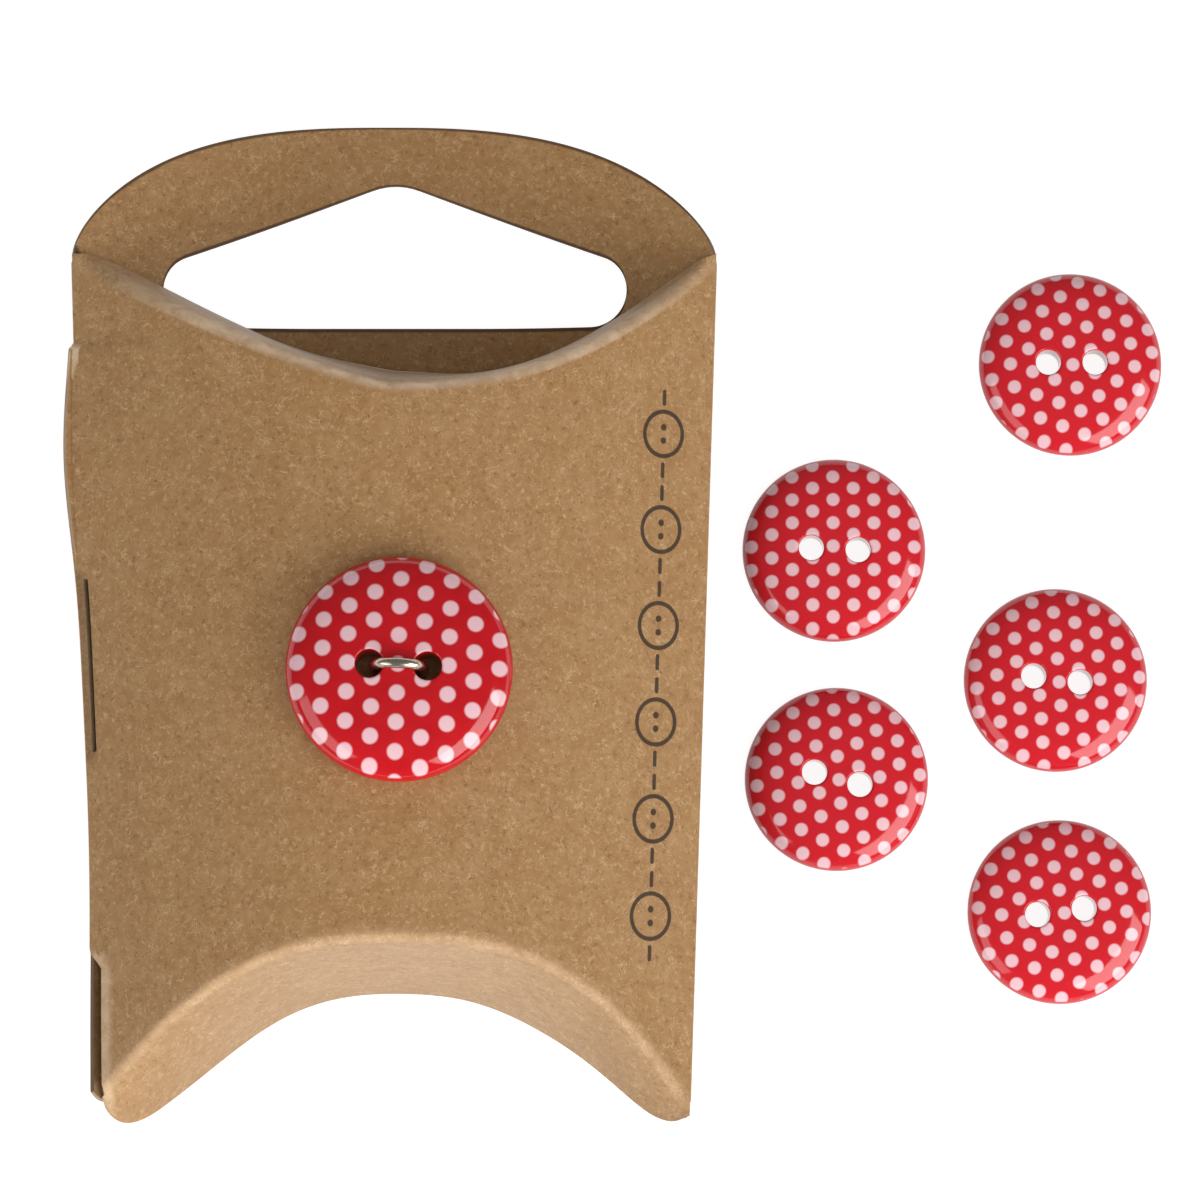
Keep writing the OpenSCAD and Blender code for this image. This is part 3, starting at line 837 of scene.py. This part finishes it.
def button_mesh(name, d, h, hole, pitch, turn, print_turn, print_x, print_y):
    """A whole button with its back on the ground plane: a half and its mirror image, turned. The
    print attribute holds each point's place in the print, in diameters, and its share of the
    radius."""
    half = half_button(d, h, hole, pitch)
    rays, rows = half.shape[:2]
    number = np.arange(rays * rows).reshape(rays, rows)
    number = np.concatenate([number, number[:1]])
    quads = np.stack([number[:-1, :-1], number[1:, :-1], number[1:, 1:], number[:-1, 1:]], axis=-1)
    quads = quads.reshape(-1, 4)
    right = half.reshape(-1, 4)
    left = right * np.array([-1, 1, 1, 1])
    points = np.concatenate([right, left])
    turned = points[:, :2] @ turn_matrix(turn)
    mesh = bpy.data.meshes.new(name)
    mesh.from_pydata(np.concatenate([turned, points[:, 2:3]], axis=-1), [],
                     np.concatenate([quads, quads[:, ::-1] + len(right)]).tolist())
    printed = (turned / d - np.array([print_x, print_y])) @ turn_matrix(-print_turn)
    mark(mesh, "print", np.concatenate([printed, points[:, 3:]], axis=-1))
    close_up(mesh)
    return mesh


def points_of(mesh):
    """A mesh's points, as rows."""
    points = np.empty(len(mesh.vertices) * 3)
    mesh.vertices.foreach_get("co", points)
    return points.reshape(-1, 3)


def put_points(mesh, points):
    """Puts a mesh's points in new places."""
    mesh.vertices.foreach_set("co", points.ravel())
    mesh.update()


def seated(mesh):
    """Moves a mesh from the ground plane to the button's seat: turned with the front's fall from
    foot to head, and raised to the top of the board at the crest."""
    fall = math.atan((HEAD_BACK_BOW - FOOT_BACK_BOW) / BODY_LEN)
    points = points_of(mesh) + np.array([0, 0, BOARD_T / 2 + SEAT_CLEAR])
    cos, sin = math.cos(fall), math.sin(fall)
    points = points @ np.array([[1, 0, 0], [0, cos, sin], [0, -sin, cos]])
    put_points(mesh, points + np.array([BUTTON_X, BUTTON_Y, front_z(0.0, BUTTON_Y)]))


RESIN_RED = (0.60, 0.0075, 0.0135, 1)
RESIN_DEEP = (0.50, 0.004, 0.009, 1)
# A brighter copy of the red, painted on the loose buttons as painted light
RESIN_PAINTED_LIGHT = (0.67, 0.0150, 0.0260, 1)
DOT_PALE = (0.89, 0.560, 0.60, 1)
DOT_PITCH = 0.1275
DOT_COLUMN = 0.1110
DOT_R = 0.0346
DOT_SOFT = 0.0045
PRINT_EDGE = 0.982
PRINT_FADE = 0.012
CLOUD_RANGE = (0.35, 0.7, 0, 0.6)
PAINTED_LIGHT_SHARE = 0.85

resin = bpy.data.materials.new("red_resin")
resin.use_nodes = True
tree = resin.node_tree
resin_shader = tree.nodes["Principled BSDF"]
resin_shader.inputs["Roughness"].default_value = 0.09
resin_shader.inputs["IOR"].default_value = 1.52
printed = attribute(tree, "print")


def dots_from(x, y):
    """Distance to the nearest dot of one of the two grids that the staggered columns make."""
    moved = tree.nodes.new("ShaderNodeVectorMath")
    moved.operation = "MULTIPLY_ADD"
    moved.inputs[1].default_value = (1, 1, 0)
    moved.inputs[2].default_value = (x, y, 0)
    tree.links.new(printed.outputs["Vector"], moved.inputs[0])
    cell = tree.nodes.new("ShaderNodeVectorMath")
    cell.operation = "WRAP"
    cell.inputs[1].default_value = (DOT_COLUMN, DOT_PITCH / 2, 1)
    cell.inputs[2].default_value = (-DOT_COLUMN, -DOT_PITCH / 2, -1)
    tree.links.new(moved.outputs[0], cell.inputs[0])
    far = tree.nodes.new("ShaderNodeVectorMath")
    far.operation = "LENGTH"
    tree.links.new(cell.outputs[0], far.inputs[0])
    return far.outputs["Value"]


nearest = reckon(tree, "MINIMUM", dots_from(0, 0), dots_from(DOT_COLUMN, DOT_PITCH / 2))
dot = window(tree, nearest, DOT_R - DOT_SOFT, DOT_R + DOT_SOFT, 1, 0)
face_part = tree.nodes.new("ShaderNodeSeparateXYZ")
tree.links.new(printed.outputs["Vector"], face_part.inputs[0])
on_face = window(tree, face_part.outputs[2], PRINT_EDGE - PRINT_FADE, PRINT_EDGE, 1, 0)
resin_where = tree.nodes.new("ShaderNodeTexCoord")
cloud = tree.nodes.new("ShaderNodeTexNoise")
cloud.inputs["Scale"].default_value = 450
cloud.inputs["Detail"].default_value = 3
tree.links.new(resin_where.outputs["Object"], cloud.inputs["Vector"])
paint = laid_over(tree, RESIN_RED, RESIN_DEEP, window(tree, cloud.outputs["Fac"], *CLOUD_RANGE))
# Painted light: the loose buttons' red is lifted towards the brighter copy
painted_light = reckon(tree, "MULTIPLY", attribute(tree, "painted_light").outputs["Fac"], PAINTED_LIGHT_SHARE)
paint = laid_over(tree, paint, RESIN_PAINTED_LIGHT, painted_light)
paint = laid_over(tree, paint, DOT_PALE, reckon(tree, "MULTIPLY", dot, on_face))
tree.links.new(paint, resin_shader.inputs["Base Color"])
flow = tree.nodes.new("ShaderNodeTexNoise")
flow.inputs["Scale"].default_value = 260
tree.links.new(resin_where.outputs["Object"], flow.inputs["Vector"])
flow_bump = tree.nodes.new("ShaderNodeBump")
flow_bump.inputs["Strength"].default_value = 0.05
flow_bump.inputs["Distance"].default_value = 0.2 * MM
tree.links.new(flow.outputs["Fac"], flow_bump.inputs["Height"])
tree.links.new(flow_bump.outputs["Normal"], resin_shader.inputs["Normal"])

button_on_front = button_mesh(
    "button_on_front", BUTTON_D, BUTTON_H, HOLE_D, HOLE_PITCH, BUTTON_TURN, *PRINTS[0])
seated(button_on_front)
button_meshes = {"front_button": button_on_front}
for i, turn in enumerate(LOOSE_TURNS, 1):
    node = f"loose_button_{i}"
    mesh = button_mesh(
        f"button_beside_{i}", LOOSE_D, LOOSE_H, LOOSE_HOLE_D, LOOSE_HOLE_PITCH, turn, *PRINTS[i])
    low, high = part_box(node)
    put_points(mesh, points_of(mesh) + np.array([(low.x + high.x) / 2, (low.y + high.y) / 2, 0]))
    button_meshes[node] = mesh
for node, mesh in button_meshes.items():
    # Marks the loose buttons for the painted light
    mark(mesh, "painted_light", np.full(len(mesh.vertices), float(mesh is not button_on_front)))
    mesh.materials.append(resin)
    button = bpy.data.objects.new(mesh.name, mesh)
    scene.collection.objects.link(button)
    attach(button, "root")
    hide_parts(node)

# Staple
# A bright drawn wire, bent over the button. Its crown arches over the land between the holes, its
# legs go down through the holes and the board, and its ends are clinched inside.
WIRE_D = 0.95 * MM
WIRE_CLEAR = 0.1 * MM
CROWN_CLEAR = 0.5 * MM
CLINCH_BEND_R = 0.55 * MM
CLINCH_LEN = 0.8 * MM
LEG_X = 2.2 * MM
CROWN_Z = BUTTON_H + CROWN_CLEAR + WIRE_D / 2
CLINCH_Z = -BOARD_T - 2 * SEAT_CLEAR - 2 * WIRE_CLEAR - WIRE_D / 2
WIRE_SIDES = 24
BEND_ROWS = 15
RUN_ROWS = 8
CROWN_STOP = 92
STEEL = (0.68, 0.62, 0.50, 1)
STEEL_DULL = (0.46, 0.41, 0.32, 1)
DULL_RANGE = (0.45, 0.75, 0, 0.8)
ROUGH_RANGE = (0.3, 0.8, 0.18, 0.36)


def quarter_bend(x, z, r, start, end):
    """An arc of about a quarter circle in the staple's plane, between two angles in degrees."""
    angle = np.radians(np.linspace(start, end, BEND_ROWS))
    return np.stack([x + r * np.cos(angle), 0 * angle, z + r * np.sin(angle)], axis=-1)


run_in = np.linspace(0, 1, RUN_ROWS, endpoint=False)[:, None]
clinch_end = np.array([-(LEG_X - CLINCH_BEND_R - CLINCH_LEN), 0, CLINCH_Z])
lower_bend = quarter_bend(-(LEG_X - CLINCH_BEND_R), CLINCH_Z + CLINCH_BEND_R, CLINCH_BEND_R, -90, -180)
upper_bend = quarter_bend(0, CROWN_Z - LEG_X, LEG_X, 180, CROWN_STOP)
half_wire = np.concatenate([
    mix(clinch_end, lower_bend[0], run_in), lower_bend,
    mix(lower_bend[-1], upper_bend[0], run_in[1:]), upper_bend])
wire = np.concatenate([half_wire, [[0, 0, CROWN_Z]], half_wire[::-1] * np.array([-1, 1, 1])])
wire_r = np.full(len(wire), WIRE_D / 2)
wire_r[[0, -1]] = 0
wire_points, wire_quads = rod(wire, wire_r, np.array([0, 1.0, 0]), WIRE_SIDES)
wire_points[:, :2] = wire_points[:, :2] @ turn_matrix(BUTTON_TURN)
staple_mesh = closed_mesh("staple_wire", wire_points, wire_quads)
seated(staple_mesh)

steel = bpy.data.materials.new("staple_wire")
steel.use_nodes = True
tree = steel.node_tree
steel_shader = tree.nodes["Principled BSDF"]
steel_shader.inputs["Metallic"].default_value = 1
steel_where = tree.nodes.new("ShaderNodeTexCoord")
drawn = tree.nodes.new("ShaderNodeMapping")
drawn.inputs["Scale"].default_value = (600, 9000, 9000)
tree.links.new(steel_where.outputs["Object"], drawn.inputs["Vector"])
lines = tree.nodes.new("ShaderNodeTexNoise")
lines.inputs["Scale"].default_value = 1
lines.inputs["Detail"].default_value = 3
tree.links.new(drawn.outputs["Vector"], lines.inputs["Vector"])
paint = laid_over(tree, STEEL, STEEL_DULL, window(tree, lines.outputs["Fac"], *DULL_RANGE))
tree.links.new(paint, steel_shader.inputs["Base Color"])
tree.links.new(window(tree, lines.outputs["Fac"], *ROUGH_RANGE), steel_shader.inputs["Roughness"])
drawn_bump = tree.nodes.new("ShaderNodeBump")
drawn_bump.inputs["Strength"].default_value = 0.12
drawn_bump.inputs["Distance"].default_value = 0.03 * MM
tree.links.new(lines.outputs["Fac"], drawn_bump.inputs["Height"])
tree.links.new(drawn_bump.outputs["Normal"], steel_shader.inputs["Normal"])
staple_mesh.materials.append(steel)
staple = bpy.data.objects.new("staple_wire", staple_mesh)
scene.collection.objects.link(staple)
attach(staple, "root")
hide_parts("staple")

# Studio
# A white light table, which glows but lights nothing, and a dim surround. A soft box stands at each
# side towards the foot, the right one larger, with weak fills above, at the head and at the foot. A
# long lens looks down, leaning a few degrees towards the foot.
FLOOR_SIDE = 4.0
FLOOR_WHITE = (0.32, 0.32, 0.32, 1)
FLOOR_GLOW = 0.90
SURROUND = 0.16
BOX_DISTANCE = 0.8
# Name, azimuth and elevation in degrees, width and height in metres, radiance, whether it lights
# matt surfaces, and whether it shows in gloss
SOFT_BOXES = (
    ("soft_box_right", 325, 31, 0.80, 0.46, 4.4, True, True),
    ("soft_box_left", 211, 30, 0.62, 0.38, 2.2, True, True),
    ("gloss_left", 211, 30, 0.62, 0.38, 1.9, False, True),
    ("fill_top", 322, 72, 1.0, 0.8, 0.85, True, False),
    ("fill_head", 95, 15, 1.3, 0.4, 0.75, True, False),
    ("fill_foot", 246, 8, 1.2, 0.3, 3.1, True, False),
)
CAMERA_TARGET = Vector((18.93, 7.08, 8.0)) * MM
CAMERA_DISTANCE = 600 * MM
CAMERA_LEAN = math.radians(4.4)
CAMERA_LENS_MM = 197.03
SENSOR_W_MM = 36

floor_mesh = bpy.data.meshes.new("floor")
half_floor = FLOOR_SIDE / 2
floor_mesh.from_pydata(
    [(-half_floor, -half_floor, 0), (half_floor, -half_floor, 0),
     (half_floor, half_floor, 0), (-half_floor, half_floor, 0)],
    [], [(0, 1, 2, 3)])
floor = bpy.data.objects.new("floor", floor_mesh)
scene.collection.objects.link(floor)
floor_paint = bpy.data.materials.new("light_table")
floor_paint.use_nodes = True
floor_shader = floor_paint.node_tree.nodes["Principled BSDF"]
floor_shader.inputs["Base Color"].default_value = FLOOR_WHITE
floor_shader.inputs["Roughness"].default_value = 0.9
floor_shader.inputs["Specular IOR Level"].default_value = 0.0
floor_shader.inputs["Emission Color"].default_value = (1, 1, 1, 1)
floor_shader.inputs["Emission Strength"].default_value = FLOOR_GLOW
floor_mesh.materials.append(floor_paint)
floor.visible_diffuse = False

scene.view_settings.view_transform = "Standard"
world = bpy.data.worlds.new("surround")
world.use_nodes = True
world.node_tree.nodes["Background"].inputs["Color"].default_value = (1, 1, 1, 1)
world.node_tree.nodes["Background"].inputs["Strength"].default_value = SURROUND
scene.world = world

for name, azimuth, elevation, wide, high, radiance, on_matt, in_gloss in SOFT_BOXES:
    lamp = bpy.data.lights.new(name, "AREA")
    lamp.shape = "RECTANGLE"
    lamp.size = wide
    lamp.size_y = high
    lamp.energy = radiance * math.pi * wide * high
    box = bpy.data.objects.new(name, lamp)
    box.visible_diffuse = on_matt
    box.visible_glossy = in_gloss
    level = math.cos(math.radians(elevation))
    box.location = BOX_DISTANCE * Vector((
        level * math.cos(math.radians(azimuth)), level * math.sin(math.radians(azimuth)),
        math.sin(math.radians(elevation))))
    box.rotation_euler = (CAMERA_TARGET - box.location).to_track_quat("-Z", "Y").to_euler()
    scene.collection.objects.link(box)

camera_data = bpy.data.cameras.new("camera")
camera_data.lens = CAMERA_LENS_MM
camera_data.sensor_width = SENSOR_W_MM
camera = bpy.data.objects.new("camera", camera_data)
back_along_lens = Vector((0, -math.sin(CAMERA_LEAN), math.cos(CAMERA_LEAN)))
camera.location = CAMERA_TARGET + CAMERA_DISTANCE * back_along_lens
camera.rotation_euler = (CAMERA_LEAN, 0, 0)
scene.collection.objects.link(camera)
scene.camera = camera
